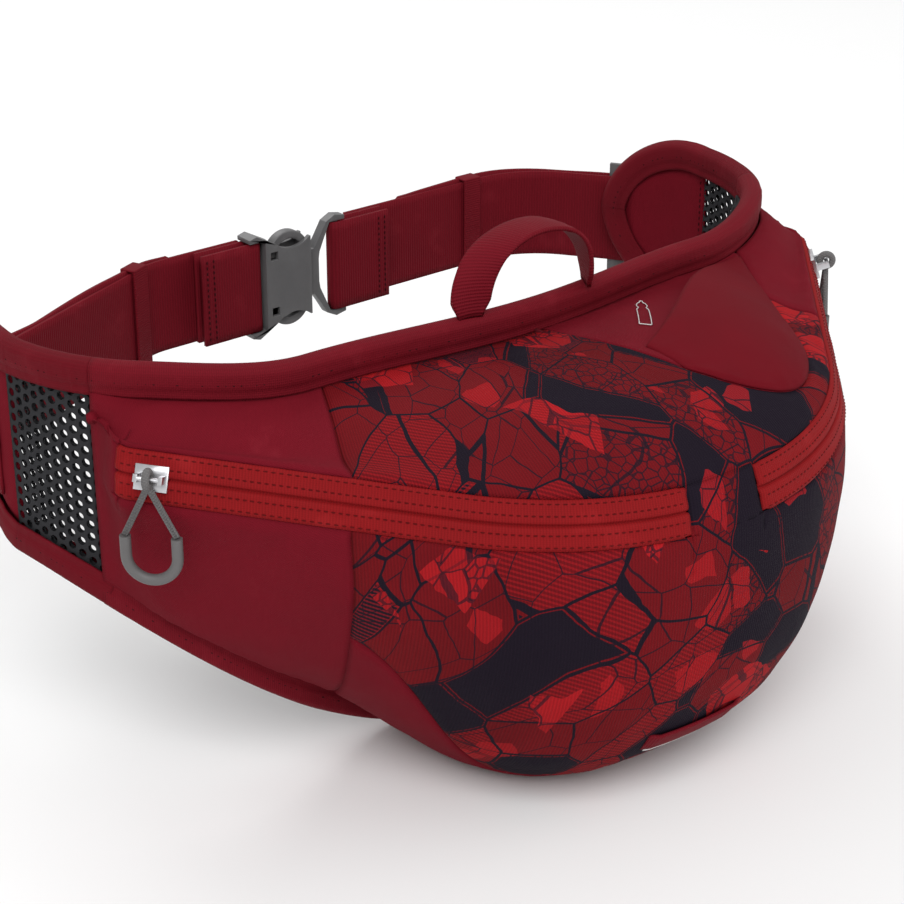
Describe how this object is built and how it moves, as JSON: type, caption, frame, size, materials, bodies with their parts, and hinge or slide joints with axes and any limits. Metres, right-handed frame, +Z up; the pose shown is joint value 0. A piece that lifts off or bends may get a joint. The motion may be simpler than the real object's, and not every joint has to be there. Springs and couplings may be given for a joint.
{
  "type": "waist pack",
  "caption": "Lumbar waist pack with zipped pockets, a bottle sleeve, mesh wings and a webbing belt closed by a side-release buckle.",
  "frame": {"origin": "on the flat base, on the mid plane, under the front face of the back panel's top edge", "axes": "+Z up, -Y out of the bag's front, the wearer stands on the +Y side inside the belt loop"},
  "size_m": [0.3388, 0.2755, 0.1839],
  "materials": {
    "printed_fabric": "matte woven print",
    "plain_fabric": "matte plain weave",
    "stretch_fabric": "matte stretch knit",
    "zip_tape": "matte ribbed tape",
    "zip_coil": "moulded nylon",
    "lining": "matte lining",
    "foam": "open-cell foam",
    "spacer_mesh": "open spacer mesh",
    "binding": "ribbed tape",
    "thread": "bonded thread",
    "webbing": "ribbed webbing",
    "hardware": "satin moulded plastic",
    "elastic": "ribbed elastic",
    "zip_metal": "polished",
    "cord": "braided cord",
    "grip": "satin moulded plastic"
  },
  "bodies": {
    "pack": {"upper_front_panel": "printed_fabric", "lower_front_panel": "printed_fabric", "side_panel_left": "plain_fabric", "side_panel_right": "plain_fabric", "bottom_panel": "plain_fabric", "sleeve_backing": "plain_fabric", "bottle_sleeve": "stretch_fabric", "zip_tape_left": "zip_tape", "zip_tape_right": "zip_tape", "zip_coil_left": "zip_coil", "zip_coil_right": "zip_coil", "pocket_divider": "lining", "back_foam": "foam", "back_mesh": "spacer_mesh", "binding_top": "binding", "binding_bottom": "binding", "binding_wing_left": "binding", "binding_wing_right": "binding", "wing_mesh_left": "spacer_mesh", "wing_mesh_right": "spacer_mesh", "wing_tip_left": "plain_fabric", "wing_tip_right": "plain_fabric", "handle_bartacks": "thread", "light_loop": "webbing", "anchor_webbing_left": "webbing", "anchor_webbing_right": "webbing", "ladderlock_left": "hardware", "ladderlock_right": "hardware", "strap_left": "webbing", "strap_right": "webbing", "socket_loop": "webbing", "buckle_socket": "hardware"},
    "slider_left": {"slider_left": "zip_metal"},
    "slider_right": {"slider_right": "zip_metal"},
    "pull_left": {"pull_cord_left": "cord", "pull_grip_left": "grip"},
    "pull_right": {"pull_cord_right": "cord", "pull_grip_right": "grip"},
    "handle": {"grab_handle": "webbing"},
    "keeper_loop_left": {"keeper_left": "elastic"},
    "keeper_loop_right": {"keeper_right": "elastic"},
    "insert": {"buckle_insert": "hardware", "insert_loop": "webbing"},
    "arm_top": {"release_arm_top": "hardware"},
    "arm_bottom": {"release_arm_bottom": "hardware"}
  },
  "joints": [
    {"name": "left_zip", "type": "slide", "parent": "pack", "child": "slider_left", "axis": [0.6671, -0.7409, -0.0772], "range_m": [0, 0.034]},
    {"name": "left_pull", "type": "hinge", "parent": "slider_left", "child": "pull_left", "pos_m": [-0.15955, 0.00816, 0.13271], "axis": [-0.6691, 0.7431, 0], "range_deg": [0, 110]},
    {"name": "right_zip", "type": "slide", "parent": "pack", "child": "slider_right", "axis": [-0.6671, -0.7409, -0.0772], "range_m": [0, 0.034]},
    {"name": "right_pull", "type": "hinge", "parent": "slider_right", "child": "pull_right", "pos_m": [0.15955, 0.00816, 0.13271], "axis": [-0.6691, -0.7431, 0], "range_deg": [0, 110]},
    {"name": "handle_flop", "type": "hinge", "parent": "pack", "child": "handle", "pos_m": [0, 0.0065, 0.1629], "axis": [1, 0, 0], "range_deg": [-60, 70]},
    {"name": "left_keeper", "type": "slide", "parent": "pack", "child": "keeper_loop_left", "axis": [-0.9135, -0.4067, 0], "range_m": [0, 0.017]},
    {"name": "right_keeper", "type": "slide", "parent": "pack", "child": "keeper_loop_right", "axis": [-1, 0, 0], "range_m": [0, 0.017]},
    {"name": "unbuckle", "type": "slide", "parent": "pack", "child": "insert", "axis": [1, 0, 0], "range_m": [0, 0.028]},
    {"name": "top_arm_squeeze", "type": "hinge", "parent": "insert", "child": "arm_top", "pos_m": [0.013, 0.162, 0.1283], "axis": [0, -1, 0], "range_deg": [0, 8], "stiffness_Nm_per_rad": 0.05},
    {"name": "bottom_arm_squeeze", "type": "hinge", "parent": "insert", "child": "arm_bottom", "pos_m": [0.013, 0.162, 0.1077], "axis": [0, 1, 0], "range_deg": [0, 8], "stiffness_Nm_per_rad": 0.05}
  ],
  "couplings": [
    {"joint": "bottom_arm_squeeze", "follows": "top_arm_squeeze", "ratio": 1}
  ]
}
